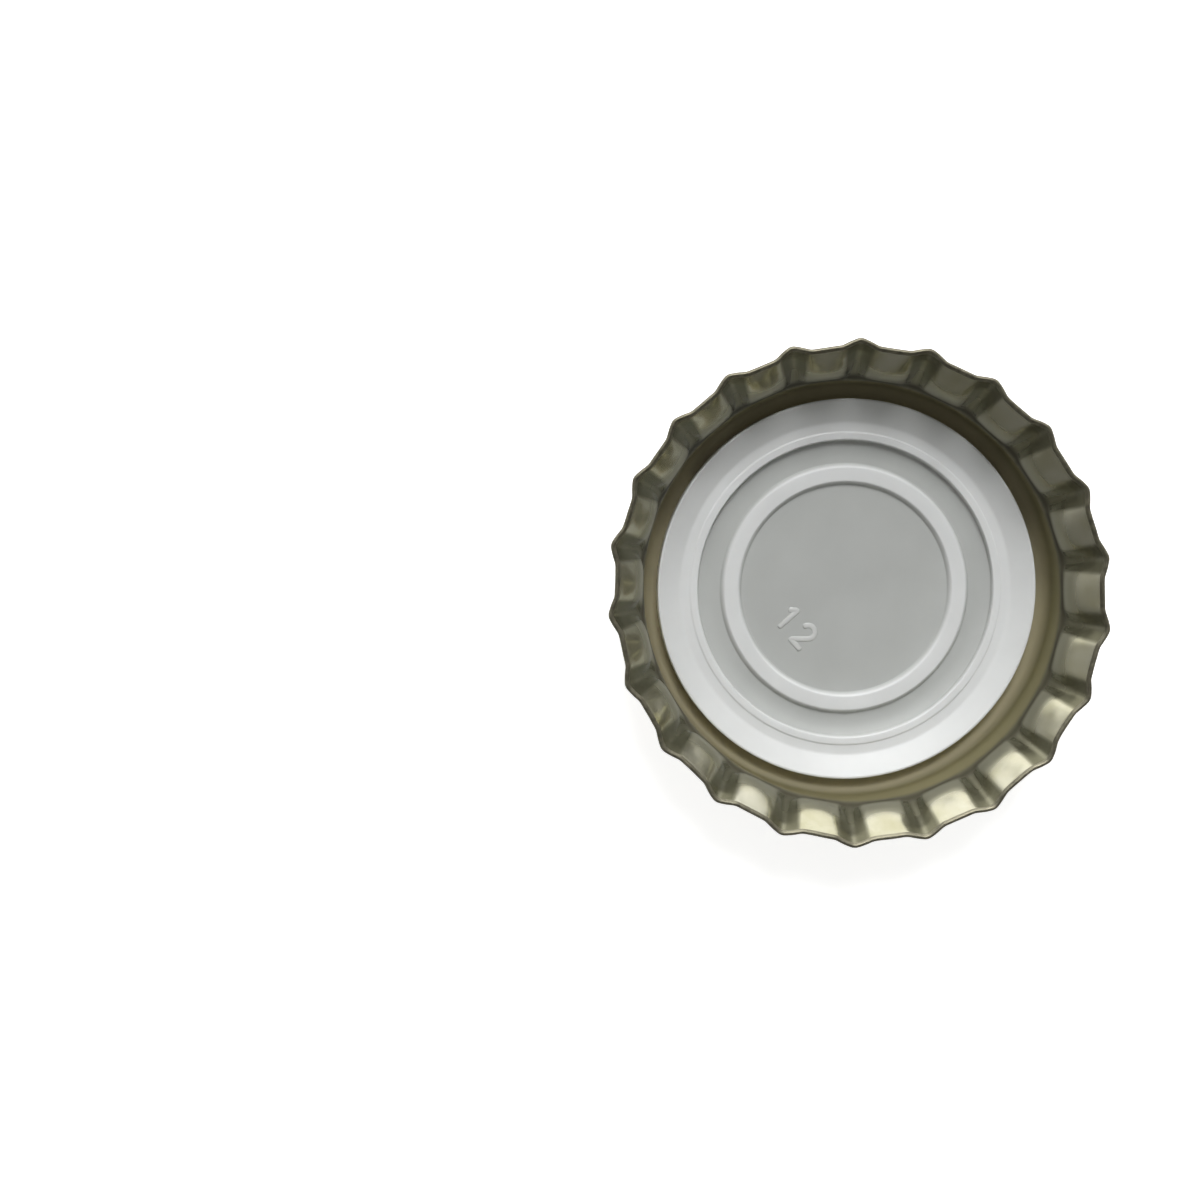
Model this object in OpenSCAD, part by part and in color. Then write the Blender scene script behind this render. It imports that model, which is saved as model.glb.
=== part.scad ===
// Crown cap, 26 mm: a pressed sheet metal shell with a liner moulded inside it.
// The cap lies on its flat panel with its mouth up. The origin is the centre of the panel's
// outer face, +Z points out of the mouth, and a crest of the skirt lies on the Y axis.

/* [Shell] */
// Diameter over the crests, at the rim
cap_d = 32.1; // [31:0.1:34]
// Height from the panel's outer face to the rim
cap_h = 6; // [5.4:0.1:8]
// Thickness of the sheet
sheet_t = 0.24; // [0.16:0.01:0.3]
// Inside diameter of the plain wall, where the mouth of a bottle goes in
wall_inside_d = 26.75; // [26.2:0.05:27.2]
// Outside radius of the corner between the panel and the wall
corner_r = 1.8; // [1.3:0.1:2.1]
// Height at which the skirt leaves the plain wall
skirt_z = 2.9; // [2.5:0.1:3.1]

/* [Crimps] */
// Number of crimps round the skirt
crimps = 22; // [20:1:24]
// Depth of a crimp at the rim, below the crests
crimp_depth = 0.5; // [0.35:0.05:0.8]
// Lean of a crimp's flat at its root, from vertical
root_lean = 17; // [13:1:21]
// Height at which the flat bends further out, to the rim
break_z = 4.3; // [4:0.1:4.7]
// Width of the flat at its root
root_flat = 2.1; // [1.8:0.1:2.4]
// Width of the flat from the bend to the rim
rim_flat = 1.8; // [1.5:0.1:2.2]
// Angle at which the flanks rise from the flat at its root
root_flank_a = 49; // [42:1:56]
// Angle at which the flanks rise from the flat near the rim
rim_flank_a = 24; // [18:1:32]
// Outside radius of the bends beside the flat at its root
root_bend_r = 0.4; // [0.2:0.05:0.6]
// Outside radius of the bends beside the flat near the rim
rim_bend_r = 0.8; // [0.4:0.1:1.2]
// Ledge between the wall and the root of a crimp
root_ledge = 0.05; // [0.03:0.01:0.1]

/* [Liner] */
// Radius of the liner's outer wall
liner_r = 12.4; // [12:0.05:12.6]
// Thickness of the thin web in the middle and in the groove
web_t = 0.14; // [0.1:0.01:0.2]
// Radius of the bead round the middle, at the centre of its top
bead_r = 7.5; // [7.2:0.05:7.8]
// Width of the bead's top
bead_top_w = 0.75; // [0.5:0.05:1]
// Width of the bead's foot
bead_foot_w = 1.25; // [1.1:0.05:1.5]
// Height of the bead above the liner's seat
bead_h = 0.44; // [0.3:0.02:0.55]
// Inner radius of the sealing land
land_r = 9.82; // [9.6:0.02:10]
// Height of the land's ridge above the seat
land_h = 0.68; // [0.56:0.02:0.8]
// Width of the ridge's top
ridge_w = 0.42; // [0.3:0.02:0.5]
// Depth of the sealing trough below the ridge
trough_depth = 0.06; // [0.04:0.01:0.12]
// Width of the trough's flat, where the lip of a bottle seals
trough_w = 0.6; // [0.4:0.05:0.8]
// Height of the lip at the outer wall, above the seat
lip_h = 1.36; // [1.1:0.02:1.5]
// Width of the lip's top
lip_w = 0.14; // [0.1:0.02:0.2]
// Rise of the groove's floor towards the land's wall
groove_rise = 0.2; // [0.1:0.02:0.3]
// Width of the part of the groove's floor that rises
groove_rise_w = 0.6; // [0.4:0.05:0.8]
// Run of the land's steep inner wall, from foot to top
land_wall_run = 0.1; // [0.04:0.02:0.2]

/* [Hidden] */
$fn = 96;

pitch_a = 360 / crimps;
crest_r = cap_d / 2;
wall_r = wall_inside_d / 2 + sheet_t;
corner_centre_r = wall_r - corner_r;

// The crests are straight from the wall to the rim.
crest_a = atan((crest_r - wall_r) / (cap_h - skirt_z));

// The middle of a crimp's flat follows the valley line: root, bend and rim as [radius, height].
valley_root = [wall_r + root_ledge, skirt_z];
valley_bend = [valley_root[0] + (break_z - skirt_z) * tan(root_lean), break_z];
valley_rim = [crest_r - crimp_depth, cap_h];

// How far a crimp's section reaches above its flat, past the crests wherever they stand.
crimp_reach = crest_r - wall_r;

// Slope of the trough's inner side, and the radii of the liner's moulded fillets.
trough_side_a = 30;
bead_foot_fillet = 0.1;
bead_top_fillet = 0.18;
groove_fillet = 3;
land_fillet = 0.08;
trough_fillet = 0.5;
lip_fillet = 0.06;
fillet_steps = 4;

// How far the form that is cut out of the shell runs past the rim.
overrun = 1;

// Corner of a section whose sides lean at a1 below it and a2 above it, moved in by a distance.
function inset_corner(corner, a1, a2, inset) =
    corner + inset / cos((a2 - a1) / 2) * [-cos((a1 + a2) / 2), sin((a1 + a2) / 2)];

// Where the skirt begins on a surface that lies inset below the shell's outer one.
function skirt_start(inset) = inset_corner([wall_r, skirt_z], 0, crest_a, inset);

// Half of the section inside the panel, the corner and the wall.
module cup_section(inset) {
    top_z = skirt_start(inset)[1];
    translate([0, inset]) square([corner_centre_r, top_z - inset]);
    translate([0, corner_r]) square([wall_r - inset, top_z - corner_r]);
    translate([corner_centre_r, corner_r]) circle(r = corner_r - inset);
}

// Half of the section inside the crests, from the wall up to a height.
module crest_section(inset, top_z) {
    start = skirt_start(inset);
    rim_r = start[0] + (top_z - start[1]) * tan(crest_a);
    polygon([[0, start[1]], start, [rim_r, top_z], [0, top_z]]);
}

// Section of a crimp across its length: a flat, a bend at each side, and leaning flanks.
module crimp_section(inset, flat, flank_a, bend_r) {
    arc_r = bend_r + inset;
    arc_end = [flat / 2 + arc_r * sin(flank_a), bend_r - arc_r * cos(flank_a)];
    flank_end = [arc_end[0] + (crimp_reach - arc_end[1]) / tan(flank_a), crimp_reach];
    polygon([
        [-flat / 2, -inset], [flat / 2, -inset], arc_end, flank_end,
        [-flank_end[0], flank_end[1]], [-arc_end[0], arc_end[1]]
    ]);
    for (side = [-1, 1])
        translate([side * flat / 2, bend_r]) circle(r = arc_r);
}

// A solid bar on the X axis that holds all that lies outside one straight stretch of a crimp.
// The stretch runs from one [radius, height] point to another, and the bar goes on past both.
module crimp_bar(inset, from, to, flat, flank_a, bend_r) {
    lean = atan((to[0] - from[0]) / (to[1] - from[1]));
    translate([from[0], 0, from[1]])
        rotate([0, lean, 0])
            translate([0, 0, -cap_h])
                rotate([0, 0, -90])
                    linear_extrude(height = 2 * cap_h) crimp_section(inset, flat, flank_a, bend_r);
}

// What one crimp takes away: all that lies outside both of its stretches.
module crimp(inset) {
    intersection() {
        crimp_bar(inset, valley_root, valley_bend, root_flat, root_flank_a, root_bend_r);
        crimp_bar(inset, valley_bend, valley_rim, rim_flat, rim_flank_a, rim_bend_r);
    }
}

// Everything inside the crimped surface that lies inset below the shell's outer one.
module crimped_form(inset, top_z) {
    rotate_extrude() cup_section(inset);
    difference() {
        rotate_extrude() crest_section(inset, top_z);
        for (i = [0 : crimps - 1])
            rotate([0, 0, i * pitch_a]) crimp(inset);
    }
}

// Points of a circular fillet at one corner of an outline, held within half of its two sides.
function fillet(before, corner, after, radius) =
    let (
        u = (before - corner) / norm(before - corner),
        w = (after - corner) / norm(after - corner),
        half_a = acos(u * w) / 2,
        room = min(norm(before - corner), norm(after - corner)) / 2,
        r = min(radius, room * tan(half_a)),
        centre = corner + (u + w) / norm(u + w) * r / sin(half_a),
        start = corner + u * r / tan(half_a) - centre,
        end = corner + w * r / tan(half_a) - centre,
        start_a = atan2(start[1], start[0]),
        turn = atan2(start[0] * end[1] - start[1] * end[0], start * end)
    )
    [for (k = [0 : fillet_steps])
        let (a = start_a + turn * k / fillet_steps) centre + r * [cos(a), sin(a)]];

// An outline of [x, y, fillet radius] corners, with 0 for a corner that stays sharp.
function filleted(corners) = [
    for (i = [0 : len(corners) - 1])
        let (
            n = len(corners),
            here = [corners[i][0], corners[i][1]],
            before = [corners[(i + n - 1) % n][0], corners[(i + n - 1) % n][1]],
            after = [corners[(i + 1) % n][0], corners[(i + 1) % n][1]]
        )
        each corners[i][2] > 0 ? fillet(before, here, after, corners[i][2]) : [here]
];

// Half of the liner's section, from the seat up: web, bead, groove, sealing land and lip.
module liner_section() {
    groove_end = land_r - land_wall_run;
    trough_h = land_h - trough_depth;
    ridge_end = land_r + ridge_w;
    trough_start = ridge_end + trough_depth / tan(trough_side_a);
    translate([0, sheet_t]) polygon(filleted([
        [0, -sheet_t, 0],
        [0, web_t, 0],
        [bead_r - bead_foot_w / 2, web_t, bead_foot_fillet],
        [bead_r - bead_top_w / 2, bead_h, bead_top_fillet],
        [bead_r + bead_top_w / 2, bead_h, bead_top_fillet],
        [bead_r + bead_foot_w / 2, web_t, bead_foot_fillet],
        [groove_end - groove_rise_w, web_t, groove_fillet],
        [groove_end, web_t + groove_rise, 0],
        [land_r, land_h, land_fillet],
        [ridge_end, land_h, land_fillet],
        [trough_start, trough_h, land_fillet],
        [trough_start + trough_w, trough_h, trough_fillet],
        [liner_r - lip_w, lip_h, lip_fillet],
        [liner_r, lip_h, lip_fillet],
        [liner_r, -sheet_t, 0]
    ]));
}

module shell() {
    color([0.55, 0.5, 0.33])
    difference() {
        crimped_form(0, cap_h);
        crimped_form(sheet_t, cap_h + overrun);
    }
}

module liner() {
    color([0.9, 0.9, 0.88])
    rotate_extrude() intersection() {
        cup_section(sheet_t);
        liner_section();
    }
}

shell();
liner();
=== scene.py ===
from math import acos, atan2, cos, pi, radians, sin, tan
import bpy
import numpy as np
from mathutils import Matrix, Vector, noise


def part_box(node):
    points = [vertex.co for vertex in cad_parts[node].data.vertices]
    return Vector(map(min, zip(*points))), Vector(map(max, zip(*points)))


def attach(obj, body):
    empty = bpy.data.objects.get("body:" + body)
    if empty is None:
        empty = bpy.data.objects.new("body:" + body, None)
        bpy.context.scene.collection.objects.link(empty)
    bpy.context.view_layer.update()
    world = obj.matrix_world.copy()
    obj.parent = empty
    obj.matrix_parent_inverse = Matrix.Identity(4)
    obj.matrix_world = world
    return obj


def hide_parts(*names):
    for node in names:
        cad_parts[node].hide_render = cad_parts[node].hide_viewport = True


# A crown bottle cap that lies on its panel with its mouth up.
# Sizes in the dictionaries are millimetres and degrees, and the meshes are made in metres.

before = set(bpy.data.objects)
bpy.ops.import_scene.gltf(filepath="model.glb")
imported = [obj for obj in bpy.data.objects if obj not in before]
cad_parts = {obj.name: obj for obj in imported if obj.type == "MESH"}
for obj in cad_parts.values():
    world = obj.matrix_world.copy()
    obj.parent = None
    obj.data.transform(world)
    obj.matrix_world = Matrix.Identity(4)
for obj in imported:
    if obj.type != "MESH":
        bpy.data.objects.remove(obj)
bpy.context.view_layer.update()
mm = 0.001

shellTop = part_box("shell")[1]
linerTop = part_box("liner")[1]
rimRadius = shellTop.y / mm  # a crest lies on +Y
rimHeight = shellTop.z / mm
linerRadius = linerTop.x / mm
linerHeight = linerTop.z / mm
print("frame: the rim's radius is", round(rimRadius, 3), "mm at a height of", round(rimHeight, 3), "mm")


# The camera, first of all: it looks down into the mouth from a little to the left.

cameraValues = dict(
    place=(-23.178, 8.262, 121.939),
    turn=(-4.129, -3.357, -0.537),  # rotation vector
    lens=56.19,
    sensor=36.0,
    clip=(1, 20000),
)


def addCamera(values):
    data = bpy.data.cameras.new("overheadCamera")
    data.lens = values["lens"]
    data.sensor_width = values["sensor"]
    data.clip_start, data.clip_end = (reach * mm for reach in values["clip"])
    camera = bpy.data.objects.new("overheadCamera", data)
    bpy.context.scene.collection.objects.link(camera)
    turn = Vector(values["turn"])
    camera.matrix_world = (
        Matrix.Translation(Vector(values["place"]) * mm)
        @ Matrix.Rotation(radians(turn.length), 4, turn.normalized())
    )
    bpy.context.scene.camera = camera


addCamera(cameraValues)
print("camera placed")


# Helpers for outlines and meshes

lineSteps = 200  # points of the line that a ridge's flank is added up along
tooShort = 1e-9  # sides under this have no room for an arc
nearlyStraight = 1e-4  # corners that turn by less than this stay straight


def softStep(low, high, x):
    t = np.clip((x - low) / (high - low), 0, 1)
    return t * t * (3 - 2 * t)


def ridge(x, top, topRound, foot, footRound):
    # height from 1 on a ridge's line to 0 beyond its foot: a flank with a rounded top and a rounded foot
    reach = np.linspace(0, foot + footRound, lineSteps)
    slope = softStep(top - topRound, top + topRound, reach)
    slope *= 1 - softStep(foot - footRound, foot + footRound, reach)
    fall = np.cumsum(slope)
    return 1 - np.interp(np.abs(x), reach, fall / fall[-1])


def filletArc(before, corner, after, radius, steps):
    # steps + 1 points of an arc at a corner, held within half of its two sides
    u, w = before - corner, after - corner
    room = min(u.length, w.length) / 2
    if room < tooShort:
        return [corner.copy() for k in range(steps + 1)]
    u.normalize()
    w.normalize()
    half = acos(min(max(u.dot(w), -1), 1)) / 2
    if pi / 2 - half < nearlyStraight:
        reach = min(radius / 2, room)
        return [corner + (u * (1 - 2 * k / steps)) * reach for k in range(steps + 1)]
    reach = min(radius / tan(half), room)
    radius = reach * tan(half)
    centre = corner + (u + w).normalized() * radius / sin(half)
    start = corner + u * reach - centre
    end = corner + w * reach - centre
    turn = atan2(start.x * end.y - start.y * end.x, start.dot(end))
    points = []
    for k in range(steps + 1):
        c, s = cos(turn * k / steps), sin(turn * k / steps)
        points.append(centre + Vector((start.x * c - start.y * s, start.x * s + start.y * c)))
    return points


def smoothPiece(name, vertices, faces, materials, faceMaterials=None, masks=None):
    mesh = bpy.data.meshes.new(name)
    mesh.from_pydata([tuple(v) for v in vertices], [], faces)
    for material in materials:
        mesh.materials.append(material)
    if faceMaterials:
        mesh.polygons.foreach_set("material_index", faceMaterials)
    mesh.polygons.foreach_set("use_smooth", [True] * len(mesh.polygons))
    for label, values in (masks or {}).items():
        mesh.attributes.new(label, "FLOAT", "POINT").data.foreach_set("value", values)
    mesh.update()
    piece = bpy.data.objects.new(name, mesh)
    bpy.context.scene.collection.objects.link(piece)
    return piece


def ringFaces(rings, columns):
    # quads between rings of the same number of points, each ring starting where the last one ends
    faces = []
    for j in range(rings - 1):
        low, high = j * columns, (j + 1) * columns
        for i in range(columns):
            n = (i + 1) % columns
            faces.append((low + i, low + n, high + n, high + i))
    return faces


# Node helpers for materials

def newMaterial(name):
    material = bpy.data.materials.new(name)
    material.use_nodes = True
    tree = material.node_tree
    tree.nodes.clear()
    shader = tree.nodes.new("ShaderNodeBsdfPrincipled")
    output = tree.nodes.new("ShaderNodeOutputMaterial")
    tree.links.new(shader.outputs["BSDF"], output.inputs["Surface"])
    return material, tree, shader


def addNode(tree, kind, inputs=None, **settings):
    node = tree.nodes.new(kind)
    for key, value in settings.items():
        setattr(node, key, value)
    for key, value in (inputs or {}).items():
        if isinstance(value, bpy.types.NodeSocket):
            tree.links.new(value, node.inputs[key])
        else:
            node.inputs[key].default_value = value
    return node


def mixColours(tree, factor, a, b):
    a, b = (c if isinstance(c, bpy.types.NodeSocket) else (*c, 1) for c in (a, b))
    return addNode(tree, "ShaderNodeMix", {0: factor, 6: a, 7: b}, data_type="RGBA").outputs[2]


def mixValues(tree, factor, a, b):
    return addNode(tree, "ShaderNodeMix", {0: factor, 2: a, 3: b}, data_type="FLOAT").outputs[0]


def mapRange(tree, value, fromLow, fromHigh, toLow, toHigh, kind="LINEAR"):
    node = addNode(
        tree, "ShaderNodeMapRange",
        {"Value": value, "From Min": fromLow, "From Max": fromHigh, "To Min": toLow, "To Max": toHigh},
        interpolation_type=kind,
    )
    return node.outputs["Result"]


def fade(tree, height, heights, start, end):
    # goes smoothly from start to end between two heights in millimetres
    low, high = (edge * mm for edge in heights)
    return mapRange(tree, height, low, high, start, end, "SMOOTHSTEP")


def calculate(tree, operation, *values):
    return addNode(tree, "ShaderNodeMath", dict(enumerate(values)), operation=operation).outputs[0]


def startGroup(name, inputs, outputs):
    group = bpy.data.node_groups.new(name, "ShaderNodeTree")
    for label, kind, value in inputs:
        socket = group.interface.new_socket(label, in_out="INPUT", socket_type=kind)
        socket.default_value = value
    for label, kind in outputs:
        group.interface.new_socket(label, in_out="OUTPUT", socket_type=kind)
    return group, group.nodes.new("NodeGroupInput").outputs, group.nodes.new("NodeGroupOutput").inputs


def placeGroup(tree, group, values):
    node = addNode(tree, "ShaderNodeGroup", node_tree=group)
    for key, value in values.items():
        node.inputs[key].default_value = value
    return node.outputs


# Cloudy tone and tiny specks, which every handled surface has

marksValues = dict(
    cloudScale=300.0,
    speckScale=900.0,
    speckShare=0.1,  # radius of a speck as a share of its cell
    speckPick=0.7,  # only cells that draw more than this have one
    speckRise=0.6,
    cloudRange=(0.3, 0.7),  # what the cloudy tone mostly stays within
)


def makeHandlingMarks(values):
    group, given, put = startGroup(
        "handlingMarks",
        (("Cloud Scale", "NodeSocketFloat", values["cloudScale"]),
         ("Speck Scale", "NodeSocketFloat", values["speckScale"]),
         ("Speck Share", "NodeSocketFloat", values["speckShare"])),
        (("Cloud", "NodeSocketFloat"), ("Speck", "NodeSocketFloat"), ("Height", "NodeSocketFloat")),
    )
    place = addNode(group, "ShaderNodeTexCoord").outputs["Object"]
    cloud = addNode(
        group, "ShaderNodeTexNoise", {"Vector": place, "Scale": given["Cloud Scale"], "Detail": 4.0}
    ).outputs["Fac"]
    group.links.new(cloud, put["Cloud"])
    cell = addNode(group, "ShaderNodeTexVoronoi", {"Vector": place, "Scale": given["Speck Scale"]})
    near = calculate(group, "LESS_THAN", cell.outputs["Distance"], given["Speck Share"])
    picked = calculate(group, "GREATER_THAN", cell.outputs["Color"], values["speckPick"])
    speck = calculate(group, "MULTIPLY", near, picked)
    group.links.new(speck, put["Speck"])
    fine = addNode(
        group, "ShaderNodeTexNoise", {"Vector": place, "Scale": given["Speck Scale"], "Detail": 3.0}
    ).outputs["Fac"]
    height = calculate(group, "MULTIPLY_ADD", speck, values["speckRise"], fine)
    group.links.new(height, put["Height"])
    return group


handlingMarks = makeHandlingMarks(marksValues)


def clouded(tree, marks, low, high):
    # a value that wanders between low and high with the cloudy tone
    return mapRange(tree, marks["Cloud"], *marksValues["cloudRange"], low, high)


def wireSurface(tree, shader, look, colour, rough, relief):
    # colour, roughness and fine relief, with which every finish ends
    bump = addNode(
        tree, "ShaderNodeBump",
        {"Height": relief, "Strength": look["bump"], "Distance": look["bumpDepth"] * mm},
    )
    tree.links.new(colour, shader.inputs["Base Color"])
    tree.links.new(rough, shader.inputs["Roughness"])
    tree.links.new(bump.outputs["Normal"], shader.inputs["Normal"])


# The shell: sheet metal, drawn into a cup and crimped round its skirt

shellValues = dict(
    sheet=0.24,
    wallInside=13.375,
    cornerRadius=1.8,
    wallLean=7.4,  # the wall opens a little towards the skirt
    crestStart=3.0,
    crestBends=((3.0, 37.6), (5.25, None)),  # heights where the crests bend out, and the lean after each
    bendSoftness=0.35,  # height over which each of those bends runs
    panelBends=((4.15, None),),  # the same for the panels between the crests
    panelSoftness=0.95,
    # from a panel's root to its rim: 1 is flat, and more bulges inwards
    panelBulge=((0, 0), (0.3, 3.5), (0.5, 5), (0.8, 2.6), (1, 1.1)),
    valleyRim=15.57,  # outer radius of a panel's middle at the rim
    # waves round the skirt, how far it leaves the round, and where most
    ovalness=((1, 0.10, 315), (2, 0.18, 132)),
    crimps=22,
    # waves round the skirt, how far the crimps wander, and where most
    crimpDrift=((1, 1.8, 21), (2, 0.8, 199)),
    # half width of a crest's top, its rounding, and the same of its foot
    crestRoot=(0.34, 0.32, 0.80, 0.12),
    crestRim=(0.12, 0.12, 1.22, 0.24),  # and at the rim
    crestLine=(0.34, 0.28),  # half width of the line along a crest where the painted gutter shade is lighter, and how much lighter
    crestShadeRise=(0.02, 0.25),  # rise of a crest over which its painted shade comes in
    crestShadeRun=0.12,  # share of the skirt's height over which it does so
    grip=(-0.05, 0.3),  # shares of that height between which drift and dents come in
    edgeLean=46,  # lean of the skirt at its rim, where the inner side of the sheet stands higher
    edgeRound=0.12,  # share of the sheet that is rounded at the outer side of the cut edge
    edgeRoll=0.14,  # how far down the inside the cut edge rounds over
    dents=((1.8, 0.045), (0.8, 0.01), (0.35, 0.002)),  # pitch and depth of the skirt's uneven places
    steps=dict(  # how finely the mesh is divided
        crimp=32,
        panel=(0.02, 0.25, 0.5, 0.75, 0.92),  # rings of the flat panel, as shares of its radius
        corner=10,
        wall=5,
        skirt=34,
        line=600,  # points of the lines that run up crests and panels
        roll=6,
    ),
    outside=dict(
        gold=(0.47, 0.43, 0.26),
        goldDeep=(0.37, 0.335, 0.19),
        speckGold=(0.62, 0.575, 0.39),
        roughness=(0.24, 0.35),
        valleyShadeGold=(0.22, 0.195, 0.11),  # painted shade: darker between the crests, where less light reaches the panels
        valleyShadeHeights=(3.1, 4.3),  # heights between which that painted shade comes in
        valleyShadeShare=0.8,  # and how much of it does
        marks={"Cloud Scale": 150.0, "Speck Scale": 2000.0, "Speck Share": 0.1},
        grainScale=5.0,
        grainStretch=(90.0, 3200.0, 2600.0),  # it runs along X, as the sheet was rolled
        grainRange=(0.35, 0.65),  # what the grain mostly stays within
        bump=0.035,
        bumpDepth=0.05,
    ),
    cutEdge=dict(
        steel=(0.26, 0.245, 0.18),
        steelDark=(0.16, 0.15, 0.11),
        roughness=(0.4, 0.55),
        marks={"Cloud Scale": 2500.0, "Speck Scale": 3000.0},
        bump=0.2,
        bumpDepth=0.03,
    ),
    inside=dict(
        gold=(0.45, 0.438, 0.35),
        goldDeep=(0.33, 0.315, 0.205),
        footGold=(0.305, 0.295, 0.22),  # duller where the foot of a panel is drawn round its bend
        panelFoot=(4.2, 5.0),  # heights between which that ends
        gutterShadeGold=(0.13, 0.125, 0.08),  # painted shade: darker in the gutters, where the crests stand out
        cornerLightGold=(0.53, 0.485, 0.34),  # painted light: lighter at the corner beside the liner, which lies in shade
        wallGold=(0.25, 0.225, 0.12),
        creaseShadeGold=(0.075, 0.07, 0.048),  # painted shade: the dark line along the top of the wall
        wallFoot=(0.8, 2.0),  # heights between which the corner's painted light gives way to the wall's tone
        wallTop=(2.9, 3.6),  # heights between which the wall's dull lacquer ends
        creaseShade=(2.7, 3.35, 3.8),  # heights where the painted dark line starts, is darkest and ends
        roughness=(0.12, 0.18),
        footRoughness=0.42,
        gutterRoughness=0.27,
        wallRoughness=0.42,
        metallic=0.8,
        wallMetallic=0.5,
        specular=0.5,
        creaseShadeSpecular=0.05,
        marks={"Cloud Scale": 420.0, "Speck Scale": 1500.0},
        bump=0.02,
        bumpDepth=0.03,
    ),
)


def makeInsideLacquer(look):
    material, tree, shader = newMaterial("insideLacquer")
    marks = placeGroup(tree, handlingMarks, look["marks"])
    place = addNode(tree, "ShaderNodeTexCoord").outputs["Object"]
    height = addNode(tree, "ShaderNodeSeparateXYZ", {"Vector": place}).outputs["Z"]
    # how much painted shade the crests' gutters get, from 0 to 1
    gutterShade = addNode(tree, "ShaderNodeAttribute", attribute_name="gutterShade").outputs["Fac"]
    wall = fade(tree, height, look["wallTop"], 1, 0)
    foot = fade(tree, height, look["panelFoot"], 1, 0)
    # painted shade along the crease at the top of the wall
    rise = fade(tree, height, look["creaseShade"][:2], 0, 1)
    fall = fade(tree, height, look["creaseShade"][1:], 1, 0)
    creaseShade = calculate(tree, "MULTIPLY", rise, fall)
    # painted light at the corner, fading into the wall's own tone higher up
    drawn = fade(tree, height, look["wallFoot"], 0, 1)
    wallTone = mixColours(tree, drawn, look["cornerLightGold"], look["wallGold"])

    colour = mixColours(tree, clouded(tree, marks, 0, 1), look["goldDeep"], look["gold"])
    rough = clouded(tree, marks, *look["roughness"])
    for mask, tone, roughness in (
        (foot, look["footGold"], look["footRoughness"]),
        (gutterShade, look["gutterShadeGold"], look["gutterRoughness"]),
        (wall, wallTone, look["wallRoughness"]),
    ):
        colour = mixColours(tree, mask, colour, tone)
        rough = mixValues(tree, mask, rough, roughness)
    colour = mixColours(tree, creaseShade, colour, look["creaseShadeGold"])
    wireSurface(tree, shader, look, colour, rough, marks["Height"])
    metallic = mixValues(tree, wall, look["metallic"], look["wallMetallic"])
    # no metal and little gloss in the crease, so that its painted shade stays dark
    tree.links.new(mixValues(tree, creaseShade, metallic, 0.0), shader.inputs["Metallic"])
    specular = mixValues(tree, creaseShade, look["specular"], look["creaseShadeSpecular"])
    tree.links.new(specular, shader.inputs["Specular IOR Level"])
    return material


def makeOutsideLacquer(look):
    material, tree, shader = newMaterial("outsideLacquer")
    marks = placeGroup(tree, handlingMarks, look["marks"])
    place = addNode(tree, "ShaderNodeTexCoord").outputs["Object"]
    lie = addNode(tree, "ShaderNodeMapping", {"Vector": place, "Scale": look["grainStretch"]})
    grain = addNode(
        tree, "ShaderNodeTexNoise",
        {"Vector": lie.outputs["Vector"], "Scale": look["grainScale"], "Detail": 4.0},
    ).outputs["Fac"]
    crest = addNode(tree, "ShaderNodeAttribute", attribute_name="gutterShade").outputs["Fac"]
    height = addNode(tree, "ShaderNodeSeparateXYZ", {"Vector": place}).outputs["Z"]
    # painted shade on the outer panels between the crests, fading in up the skirt
    valley = fade(tree, height, look["valleyShadeHeights"], 0, look["valleyShadeShare"])
    valley = calculate(tree, "MULTIPLY", valley, mapRange(tree, crest, 0, 1, 1, 0))
    colour = mixColours(tree, clouded(tree, marks, 0, 1), look["goldDeep"], look["gold"])
    colour = mixColours(tree, valley, colour, look["valleyShadeGold"])
    colour = mixColours(tree, marks["Speck"], colour, look["speckGold"])
    rough = mapRange(tree, grain, *look["grainRange"], *look["roughness"])
    wireSurface(tree, shader, look, colour, rough, grain)
    shader.inputs["Metallic"].default_value = 1
    return material


def makeCutEdge(look):
    material, tree, shader = newMaterial("cutEdge")
    marks = placeGroup(tree, handlingMarks, look["marks"])
    colour = mixColours(tree, clouded(tree, marks, 0, 1), look["steelDark"], look["steel"])
    rough = clouded(tree, marks, *look["roughness"])
    wireSurface(tree, shader, look, colour, rough, marks["Height"])
    shader.inputs["Metallic"].default_value = 1
    return material


def skirtLine(heights, start, bends, top, softness):
    # Radii of a line that runs up the skirt from start = (height, radius). bends holds the heights where
    # it bends out and the lean after each, and a lean of None aims at top = (height, radius).
    height, radius, lean = *start, 0
    total = np.zeros(len(heights))
    for bendHeight, nextLean in bends:
        radius += (bendHeight - height) * tan(lean)
        height = bendHeight
        if nextLean is None:
            nextLean = atan2(top[1] - radius, top[0] - height)
        bent = softStep(bendHeight - softness / 2, bendHeight + softness / 2, heights)
        total += (nextLean - lean) * bent
        lean = nextLean
    slope = np.tan(total)
    steps = np.diff(heights) * (slope[1:] + slope[:-1]) / 2
    return start[1] + np.concatenate(([0], np.cumsum(steps)))


def driftedAngles(angles, values):
    # the crimps stand closer on one side than on the other, and stay put at +Y
    drift = 0
    for waves, reach, peak in values["crimpDrift"]:
        peak = radians(peak)
        drift = drift + radians(reach) * (np.cos(waves * angles - peak) - cos(waves * pi / 2 - peak))
    return angles + drift


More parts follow.
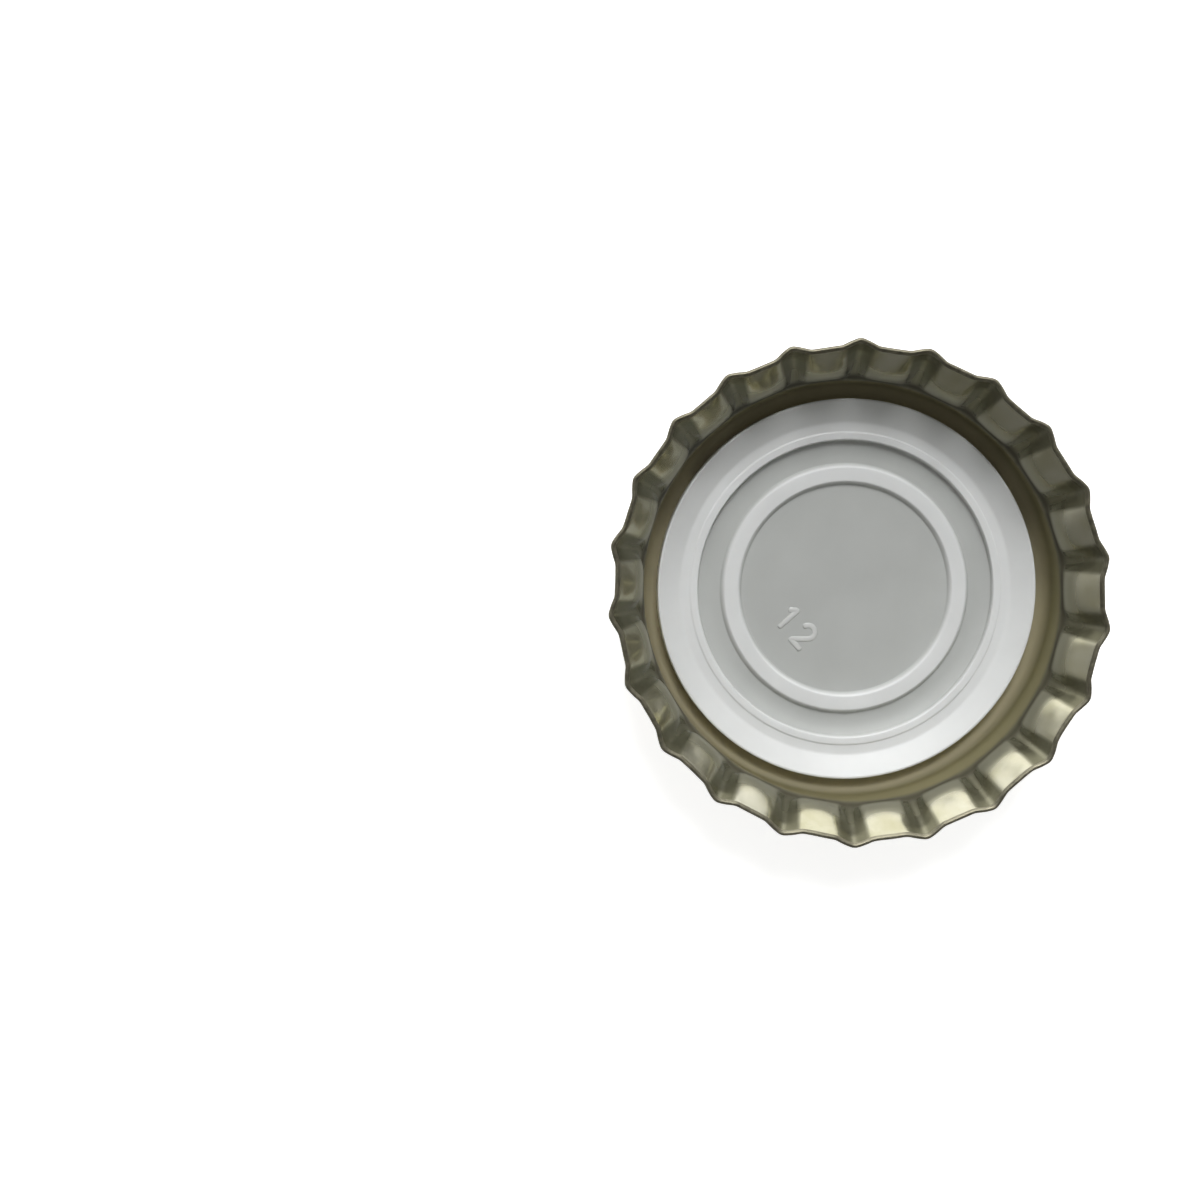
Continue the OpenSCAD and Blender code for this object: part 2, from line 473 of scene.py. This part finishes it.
def crimpedSkirt(values, top):
    # Outer surface of wall and skirt as rows of points, from the corner up to the cut edge, and how much
    # painted shade each point gets as it stands up into a crest, from 0 to 1.
    steps = values["steps"]
    start = (values["cornerRadius"], values["wallInside"] + values["sheet"])
    corner = start[0]
    fine = np.linspace(corner, top, steps["line"])
    reach = softStep(values["crestStart"], top, fine)

    def lineUp(bends, softness, rim):
        bends = ((corner, values["wallLean"]), *bends)
        turns = [(height, lean and radians(lean)) for height, lean in bends]
        line = skirtLine(fine, start, turns, (top, rim), softness)
        return line + (rim - line[-1]) * reach  # so that its soft bends still end at the rim

    valley = lineUp(values["panelBends"], values["panelSoftness"], values["valleyRim"])
    ridgeLine = lineUp(values["crestBends"], values["bendSoftness"], rimRadius)

    half = pi / values["crimps"]
    columns = values["crimps"] * steps["crimp"]
    angles = 2 * pi * np.arange(columns) / columns
    fromValley = (angles + half) % (2 * half) - half
    flareLow = values["crestStart"] - values["bendSoftness"] / 2
    heights = np.concatenate((
        np.linspace(corner, flareLow, steps["wall"], endpoint=False),
        np.linspace(flareLow, top, steps["skirt"]),
    ))
    rows, crests = [], []
    for height in heights:
        v, c = np.interp(height, fine, valley), np.interp(height, fine, ridgeLine)
        climb = (height - values["crestStart"]) / (top - values["crestStart"])
        grown = min(max(climb, 0), 1)
        crest = [low + (high - low) * grown for low, high in zip(values["crestRoot"], values["crestRim"])]
        bulge = np.interp(climb, *zip(*values["panelBulge"]))
        within = np.clip(np.abs(fromValley), 0, half - crest[2] / c)
        flat = v * (1 / np.cos(fromValley) + (1 / np.cos(within) - 1) * (bulge - 1))
        aside = (half - np.abs(fromValley)) * c
        raised = ridge(aside, *crest)
        lineWidth, lighter = values["crestLine"]
        line = 1 - (1 - softStep(0, lineWidth, aside)) * lighter
        # painted shade in the gutters: it grows with the crest's rise and is lighter along the crest's
        # line
        tone = softStep(*values["crestShadeRise"], raised) * softStep(0, values["crestShadeRun"], climb)
        crests.append(tone * line)
        radii = flat + (c - flat) * raised
        grip = softStep(*values["grip"], climb)
        turned = angles + (driftedAngles(angles, values) - angles) * grip
        for waves, swing, peak in values["ovalness"]:
            swing = swing * softStep(corner, values["crestStart"], height)
            radii = radii + swing * np.cos(waves * (turned - radians(peak)))
        level = np.full(columns, height)
        rows.append(np.stack((radii * np.cos(turned), radii * np.sin(turned), level), 1))
        for point in rows[-1]:
            dent = sum(noise.noise(Vector(point) / pitch) * depth for pitch, depth in values["dents"])
            point[:2] *= 1 + dent * grip / rimRadius
    return np.array(rows), np.array(crests)


def roundRows(angles, line):
    return np.array([
        np.stack((r * np.cos(angles), r * np.sin(angles), np.full(len(angles), z)), 1) for r, z in line
    ])


def surfaceNormals(rows):
    # outward normals of a grid of points that closes on itself round the axis
    around = np.roll(rows, -1, axis=1) - np.roll(rows, 1, axis=1)
    along = np.gradient(rows, axis=0)
    normals = np.cross(around, along)
    return normals / np.linalg.norm(normals, axis=2, keepdims=True)


def buildShell(values):
    steps = values["steps"]
    sheet = values["sheet"]
    wall = values["wallInside"] + sheet
    corner = values["cornerRadius"]
    centre = wall - corner
    columns = values["crimps"] * steps["crimp"]
    angles = 2 * pi * np.arange(columns) / columns
    edgeLean = radians(values["edgeLean"])
    top = rimHeight - sheet * sin(edgeLean)

    panel = [(centre * share, 0) for share in steps["panel"]]
    bends = [pi / 2 * k / steps["corner"] for k in range(steps["corner"])]
    bend = [(centre + corner * sin(a), corner * (1 - cos(a))) for a in bends]
    flatRows = roundRows(angles, panel + bend)
    skirtRows, crests = crimpedSkirt(values, top)
    outer = np.concatenate((flatRows, skirtRows))
    inner = outer - surfaceNormals(outer) * sheet
    gutterShades = np.concatenate((np.zeros(flatRows.shape[:2]), crests))

    # outside up to the rim, over the cut edge, which is rounded more on the inside, and down inside
    along = np.linalg.norm(inner[-1, 0] - inner[-2, 0])
    rolled = max(2, round(values["edgeRoll"] / along))
    low = outer[-1] + (outer[-2] - outer[-1]) * values["edgeRound"] * sheet / along
    edge = outer[-1] + (inner[-1] - outer[-1]) * values["edgeRound"]
    middle = (outer[-1] + inner[-1]) / 2
    roll = [
        middle * (1 - t) ** 2 + inner[-1] * 2 * t * (1 - t) + inner[-1 - rolled] * t ** 2
        for t in np.linspace(0, 1, steps["roll"])
    ]
    rows = np.concatenate((outer[:-1], [low, edge], roll, inner[-2 - rolled::-1]))
    rim = [gutterShades[-1:]] * (1 + steps["roll"])
    gutterShades = np.concatenate((gutterShades, *rim, gutterShades[-2 - rolled::-1])).ravel()
    outside, cut = len(outer) - 1, 1 + steps["roll"]
    vertices = [Vector(point) * mm for row in rows for point in row]
    faces = ringFaces(len(rows), columns)
    faceMaterials = []
    for j in range(len(rows) - 1):
        owner = 0 if j < outside else 1 if j < outside + cut else 2
        faceMaterials += [owner] * columns
    centreLow = len(vertices)
    vertices += [Vector((0, 0, 0)), Vector((0, 0, sheet * mm))]
    last = (len(rows) - 1) * columns
    for i in range(columns):
        n = (i + 1) % columns
        faces += [(n, i, centreLow), (last + i, last + n, centreLow + 1)]
        faceMaterials += [0, 2]
    materials = [
        makeOutsideLacquer(values["outside"]),
        makeCutEdge(values["cutEdge"]),
        makeInsideLacquer(values["inside"]),
    ]
    # the painted gutter shade, which both lacquers read
    masks = {"gutterShade": np.append(gutterShades, (0, 0))}
    piece = smoothPiece("crimpedShell", vertices, faces, materials, faceMaterials, masks)
    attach(piece, "root")
    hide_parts("shell")
    print("shell built:", len(faces), "faces")


buildShell(shellValues)


# The liner: one moulding of white compound, grey where it is thin

linerValues = dict(
    seat=0.24,  # height of the sheet that it lies on
    web=0.14,  # this thickness and the heights below are above the seat
    beadRadius=7.52,
    beadTop=0.92,  # width
    beadFoot=1.4,
    beadHeight=0.48,
    grooveRise=0.2,  # of the groove's floor towards the land
    grooveRun=0.7,
    landRadius=9.77,  # inner radius of the sealing land
    landHeight=0.74,
    landRun=0.1,  # of its steep inner side
    ridge=0.42,  # width of the land's top
    troughDepth=0.06,
    trough=0.6,  # width
    troughSide=30,
    lip=0.14,  # width of the top of the outer edge
    floorBend=0.1,  # radii of the section's bends
    beadBend=0.15,
    grooveBend=3,
    landFootBend=0.02,
    landBend=0.08,
    troughBend=0.5,
    lipBend=0.06,
    gap=0.004,  # keeps the underside off the sheet
    steps=dict(  # how finely the mesh is divided
        columns=288,
        bend=6,
        under=4,  # round the shell's corner, below
        web=(0.1, 0.4, 0.7),  # more rings across the web keep its faces small
        seat=(0.5, 0.9),
    ),
    look=dict(
        white=(0.853, 0.868, 0.866),
        webGrey=(0.556, 0.572, 0.556),
        beadThickness=(0.30, 0.43),  # where the thin grey compound turns white on the bead
        landThickness=(0.40, 0.60),  # and on the land
        lipShadeRadii=(10.7, 11.4),  # radii between which the white falls to the lip's share, as painted shade on the slope out to the lip
        lipShadeWhite=0.82,
        shade=0.94,  # how dark the cloudy tone goes
        roughness=(0.36, 0.5),
        marks={"Cloud Scale": 260.0, "Speck Scale": 1200.0, "Speck Share": 0.06},
        bump=0.04,
        bumpDepth=0.04,
        glow=0.12,  # share of the light that goes through the compound
        glowColour=(1.0, 0.95, 0.9),
        glowReach=0.15,
    ),
)


def makeLinerCompound(name, look):
    material, tree, shader = newMaterial(name)
    marks = placeGroup(tree, handlingMarks, look["marks"])
    # how white the compound is, with painted shade on the slope out to the lip
    solid = addNode(tree, "ShaderNodeAttribute", attribute_name="solid").outputs["Fac"]
    colour = mixColours(tree, solid, look["webGrey"], look["white"])
    tone = clouded(tree, marks, look["shade"], 1)
    scaled = addNode(tree, "ShaderNodeVectorMath", {0: colour, "Scale": tone}, operation="SCALE")
    rough = clouded(tree, marks, *look["roughness"])
    wireSurface(tree, shader, look, scaled.outputs["Vector"], rough, marks["Height"])
    shader.inputs["Subsurface Weight"].default_value = look["glow"]
    shader.inputs["Subsurface Radius"].default_value = look["glowColour"]
    shader.inputs["Subsurface Scale"].default_value = look["glowReach"] * mm
    return material


def linerOutline(values, shell):
    # half of the section as (radius, height), from the middle of the web out and back along the seat
    steps = values["steps"]
    seat, web = values["seat"], values["web"]
    bead, foot, beadTop = values["beadRadius"], values["beadFoot"] / 2, values["beadTop"] / 2
    land, landHeight = values["landRadius"], values["landHeight"]
    grooveEnd = land - values["landRun"]
    ridgeEnd = land + values["ridge"]
    troughHeight = landHeight - values["troughDepth"]
    troughStart = ridgeEnd + values["troughDepth"] / tan(radians(values["troughSide"]))
    lip = linerHeight - seat
    corners = (
        (0, web, 0),
        (bead - foot, web, values["floorBend"]),
        (bead - beadTop, values["beadHeight"], values["beadBend"]),
        (bead + beadTop, values["beadHeight"], values["beadBend"]),
        (bead + foot, web, values["floorBend"]),
        (grooveEnd - values["grooveRun"], web, values["grooveBend"]),
        (grooveEnd, web + values["grooveRise"], values["landFootBend"]),
        (land, landHeight, values["landBend"]),
        (ridgeEnd, landHeight, values["landBend"]),
        (troughStart, troughHeight, values["landBend"]),
        (troughStart + values["trough"], troughHeight, values["troughBend"]),
        (linerRadius - values["lip"], lip, values["lipBend"]),
        (linerRadius, lip, values["lipBend"]),
        (linerRadius, lip / 2, 0),
    )
    points = []
    for i, (x, y, bend) in enumerate(corners):
        here = Vector((x, y + seat))
        if bend:
            before, after = (Vector((corners[j][0], corners[j][1] + seat)) for j in (i - 1, i + 1))
            points += filletArc(before, here, after, bend, steps["bend"])
        else:
            points.append(here)
    centre = shell["wallInside"] + shell["sheet"] - shell["cornerRadius"]
    bend = shell["cornerRadius"] - shell["sheet"] - values["gap"]
    start = acos((linerRadius - centre) / bend)
    for k in range(steps["under"] + 1):
        a = start + (pi / 2 - start) * k / steps["under"]
        points.append(Vector((centre + bend * cos(a), shell["cornerRadius"] - bend * sin(a))))
    points.append(Vector((0, seat + values["gap"])))
    return points


def buildLiner(values, shell):
    steps, look = values["steps"], values["look"]
    outline = linerOutline(values, shell)
    columns = steps["columns"]
    inner = outline[1:-1]
    rings = [outline[0].lerp(inner[0], share) for share in steps["web"]] + inner
    rings += [inner[-1].lerp(outline[-1], share) for share in steps["seat"]]
    vertices = []
    for point in rings:
        for i in range(columns):
            a = 2 * pi * i / columns
            vertices.append(Vector((point.x * cos(a), point.x * sin(a), point.y)) * mm)
    faces = [tuple(reversed(face)) for face in ringFaces(len(rings), columns)]
    low = len(vertices)
    vertices += [Vector((0, 0, outline[0].y)) * mm, Vector((0, 0, outline[-1].y)) * mm]
    last = (len(rings) - 1) * columns
    for i in range(columns):
        n = (i + 1) % columns
        faces += [(i, n, low), (last + n, last + i, low + 1)]
    groove = (values["beadRadius"] + values["landRadius"]) / 2
    solid = []  # how white the compound is, from 0 to 1, with painted shade on the lip's slope
    for point in rings + [outline[0], outline[-1]]:
        thin, thick = look["beadThickness" if point.x < groove else "landThickness"]
        # painted shade: the white is darker on the slope out to the lip
        fall = softStep(*look["lipShadeRadii"], point.x) * (1 - look["lipShadeWhite"])
        solid.append(softStep(thin, thick, point.y - values["seat"]) * (1 - fall))
    masks = {"solid": np.append(np.repeat(solid[:-2], columns), solid[-2:])}
    materials = [makeLinerCompound("linerCompound", look)]
    piece = smoothPiece("mouldedLiner", vertices, faces, materials, masks=masks)
    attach(piece, "root")
    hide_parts("liner")
    print("liner built:", len(faces), "faces")


buildLiner(linerValues, shellValues)


# A small plain number that stands up from the web

numberValues = dict(
    centre=(-3.2, -2.46),
    lean=-49,  # direction in which it reads
    height=1.6,
    pitch=1.6,  # from one figure to the next
    stroke=0.37,
    rise=0.038,
    sink=0.02,  # how far it goes into the web
    # half of the stroke's width and its rise are 1 in its section
    section=((-1, 0), (-0.8, 0.6), (-0.35, 0.95), (0.35, 0.95), (0.8, 0.6), (1, 0)),
    endReach=0.6,  # how far its rounded ends run on, in half widths
    endShare=0.45,  # and how wide and high they still are
    arcSteps=12,
    look=dict(white=(0.72, 0.73, 0.715), shade=0.97),  # where it isn't the liner's
)


def figureStrokes(steps):
    # the strokes of a 1 and a 2, each a list of points in a box that is 1 high
    turns = [radians(170 - 215 * k / steps) for k in range(steps + 1)]
    bowl = [(0.28 * cos(a), 0.72 + 0.28 * sin(a)) for a in turns]
    return (
        [[(-0.2, 0.76), (0.02, 0.97)], [(0.05, 1.0), (0.05, 0.0)]],
        [bowl + [(-0.26, 0.02)], [(-0.28, 0.0), (0.3, 0.0)]],
    )


def strokeSolid(points, values, base, vertices, faces):
    # a rounded ridge along a line of points, closed below and at both ends
    section = (*values["section"], (1, -1), (-1, -1))
    half, share = values["stroke"] / 2, values["endShare"]
    first = len(vertices)
    start, end = (
        point.lerp(beside, -half * values["endReach"] / (beside - point).length)
        for point, beside in ((points[0], points[1]), (points[-1], points[-2]))
    )
    stations = [(start, share)] + [(point, 1) for point in points] + [(end, share)]
    for k, (point, share) in enumerate(stations):
        before = stations[max(k - 1, 0)][0]
        after = stations[min(k + 1, len(stations) - 1)][0]
        across = (after - before).normalized().orthogonal()
        for side, rise in section:
            place = point + across * side * half * share
            height = base + (rise * values["rise"] * share if rise >= 0 else -values["sink"])
            vertices.append(Vector((place.x, place.y, height)) * mm)
    count = len(section)
    faces += [tuple(f + first for f in face) for face in ringFaces(len(stations), count)]
    faces += [tuple(first + i for i in reversed(range(count)))]
    faces += [tuple(first + (len(stations) - 1) * count + i for i in range(count))]


def buildNumber(values, liner):
    lean = radians(values["lean"])
    along, up = Vector((cos(lean), sin(lean))), Vector((-sin(lean), cos(lean)))
    base = liner["seat"] + liner["web"]
    figures = figureStrokes(values["arcSteps"])
    vertices, faces = [], []
    for i, strokes in enumerate(figures):
        middle = Vector(values["centre"]) + along * values["pitch"] * (i - (len(figures) - 1) / 2)
        for stroke in strokes:
            points = [middle + (along * x + up * (y - 0.5)) * values["height"] for x, y in stroke]
            strokeSolid(points, values, base, vertices, faces)
    masks = {"solid": [softStep(0, values["rise"], vertex.z / mm - base) for vertex in vertices]}
    look = {**liner["look"], **values["look"]}
    materials = [makeLinerCompound("numberCompound", look)]
    piece = smoothPiece("mouldNumber", vertices, faces, materials, masks=masks)
    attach(piece, "root")
    print("number built:", len(faces), "faces")


buildNumber(numberValues, linerValues)


# The stage: a pale floor and soft light from the +Y side. Each reach is an angle from the middle of its
# light: as far as the first it is full, and past the second there is none.

stageValues = dict(
    floorWidth=4000,
    floorDrop=0.01,  # keeps the floor just under the panel
    floorColour=(0.86, 0.86, 0.85),
    floorShade=0.98,  # of its cloudy tone
    floorGlow=0.78,  # what the camera sees on top of the light that falls on it
    floorGlance=0.1,  # and how much more of it is mirrored
    keyAzimuth=88,  # anticlockwise from +X
    keyElevation=46,
    keyReach=(4, 17),
    keyStrength=15.8,
    windowAzimuth=94,  # a low, wide window beyond the rim
    windowReach=(26, 66),
    windowTop=(15, 24),  # elevations between which it fades out
    windowStrength=1.88,
    wallReach=(75, 115),  # the pale walls on both sides of the window
    wallTop=(15, 35),
    wallTone=0.36,
    cornerTone=0.12,  # the walls of the rest of the room
    ceilingReach=(20, 55),
    ceilingTone=0.1,
    roomTone=(0.12, 0.119, 0.114),
    mapWidth=512,  # detail with which Blender aims its light samples at the bright parts
)


def buildFloor(values):
    half, low = values["floorWidth"] / 2 * mm, -values["floorDrop"] * mm
    corners = [(-half, -half, low), (half, -half, low), (half, half, low), (-half, half, low)]
    material = bpy.data.materials.new("paleFloor")
    material.use_nodes = True
    tree = material.node_tree
    tree.nodes.clear()
    cloud = addNode(tree, "ShaderNodeTexNoise", {"Scale": 30.0, "Detail": 3.0}).outputs["Fac"]
    pale = values["floorColour"]
    colour = mixColours(tree, cloud, pale, tuple(c * values["floorShade"] for c in pale))
    diffuse = addNode(tree, "ShaderNodeBsdfDiffuse", {"Color": colour})
    seen = addNode(tree, "ShaderNodeLightPath").outputs
    shown = calculate(tree, "MAXIMUM", seen["Is Camera Ray"], seen["Is Transmission Ray"])
    mirrored = calculate(tree, "MULTIPLY", seen["Is Glossy Ray"], values["floorGlance"])
    glow = calculate(tree, "MULTIPLY_ADD", shown, values["floorGlow"], mirrored)
    emission = addNode(tree, "ShaderNodeEmission", {"Color": (1, 1, 1, 1), "Strength": glow})
    both = addNode(tree, "ShaderNodeAddShader", {0: diffuse.outputs[0], 1: emission.outputs[0]})
    output = addNode(tree, "ShaderNodeOutputMaterial")
    tree.links.new(both.outputs[0], output.inputs["Surface"])
    floor = smoothPiece("floor", corners, [(0, 1, 2, 3)], [material])


def lobe(tree, direction, azimuth, elevation, reach):
    # 1 inside reach's first angle from a direction, falling smoothly to 0 at its second
    towards = (
        cos(radians(azimuth)) * cos(radians(elevation)),
        sin(radians(azimuth)) * cos(radians(elevation)),
        sin(radians(elevation)),
    )
    near = addNode(tree, "ShaderNodeVectorMath", {0: direction, 1: towards}, operation="DOT_PRODUCT")
    return mapRange(
        tree, near.outputs["Value"], cos(radians(reach[1])), cos(radians(reach[0])), 0, 1, "SMOOTHSTEP"
    )


def buildRoom(values):
    world = bpy.data.worlds.new("studioRoom")
    bpy.context.scene.world = world
    world.use_nodes = True
    tree = world.node_tree
    tree.nodes.clear()
    direction = addNode(tree, "ShaderNodeTexCoord").outputs["Generated"]
    key = lobe(tree, direction, values["keyAzimuth"], values["keyElevation"], values["keyReach"])
    height = addNode(tree, "ShaderNodeSeparateXYZ", {"Vector": direction}).outputs["Z"]

    def lowPart(top):
        low, high = (sin(radians(a)) for a in top)
        return mapRange(tree, height, low, high, 1, 0, "SMOOTHSTEP")

    window = lobe(tree, direction, values["windowAzimuth"], 0, values["windowReach"])
    window = calculate(tree, "MULTIPLY", window, lowPart(values["windowTop"]))
    wall = lobe(tree, direction, values["windowAzimuth"], 0, values["wallReach"])
    wall = calculate(tree, "MULTIPLY_ADD", wall, values["wallTone"], values["cornerTone"])
    strength = calculate(tree, "MULTIPLY", wall, lowPart(values["wallTop"]))
    ceiling = lobe(tree, direction, 0, 90, values["ceilingReach"])
    strength = calculate(tree, "MULTIPLY_ADD", ceiling, values["ceilingTone"], strength)
    strength = calculate(tree, "MULTIPLY_ADD", key, values["keyStrength"], strength)
    strength = calculate(tree, "MULTIPLY_ADD", window, values["windowStrength"], strength)
    light = addNode(tree, "ShaderNodeBackground", {"Color": (1, 1, 1, 1), "Strength": strength})
    room = addNode(tree, "ShaderNodeBackground", {"Color": (*values["roomTone"], 1), "Strength": 1.0})
    lit = addNode(tree, "ShaderNodeAddShader", {0: light.outputs[0], 1: room.outputs[0]})
    # the camera itself looks at plain white
    white = addNode(tree, "ShaderNodeBackground", {"Color": (1, 1, 1, 1), "Strength": 1.0})
    seen = addNode(tree, "ShaderNodeLightPath").outputs["Is Camera Ray"]
    pick = addNode(tree, "ShaderNodeMixShader", {0: seen, 1: lit.outputs[0], 2: white.outputs[0]})
    output = addNode(tree, "ShaderNodeOutputWorld")
    tree.links.new(pick.outputs[0], output.inputs["Surface"])
    world.cycles.sampling_method = "MANUAL"
    world.cycles.sample_map_resolution = values["mapWidth"]


buildFloor(stageValues)
buildRoom(stageValues)
bpy.context.scene.view_settings.view_transform = "Standard"
print("stage set")
